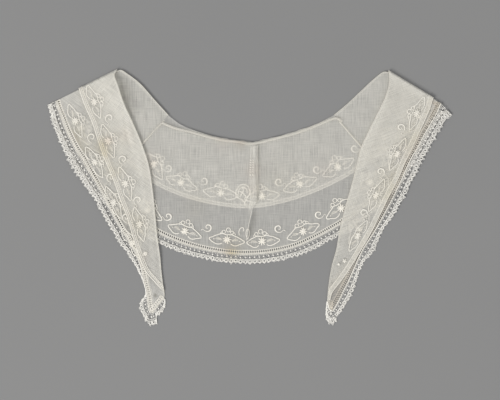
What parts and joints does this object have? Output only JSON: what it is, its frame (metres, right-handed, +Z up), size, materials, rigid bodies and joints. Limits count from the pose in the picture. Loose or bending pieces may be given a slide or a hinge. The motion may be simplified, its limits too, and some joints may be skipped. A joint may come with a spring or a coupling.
{
  "type": "shawl collar",
  "caption": "Sheer two-tier cotton shawl collar with whitework, hemstitched hems and lace edging, laid flat with both fronts folded over the back.",
  "frame": {"origin": "middle of the outline, on the surface the collar lies on", "axes": "+X from the left front to the right front as one looks down on it, +Y from the back hem to the folds beside the neck, +Z up from the surface"},
  "size_m": [0.4453, 0.2811, 0.0084],
  "materials": {
    "batiste": "sheer plain-woven cotton, ivory",
    "lace": "narrow cotton lace, cream",
    "binding": "rolled cotton binding, cream"
  },
  "bodies": {
    "root": {"back_short_tier": "batiste", "back_long_tier": "batiste", "back_lace": "lace", "left_front_long_tier": "batiste", "left_front_short_tier": "batiste", "left_front_lace": "lace", "right_front_long_tier": "batiste", "right_front_short_tier": "batiste", "right_front_lace": "lace", "neck_binding": "binding", "centre_back_tuck": "batiste"}
  },
  "joints": []
}
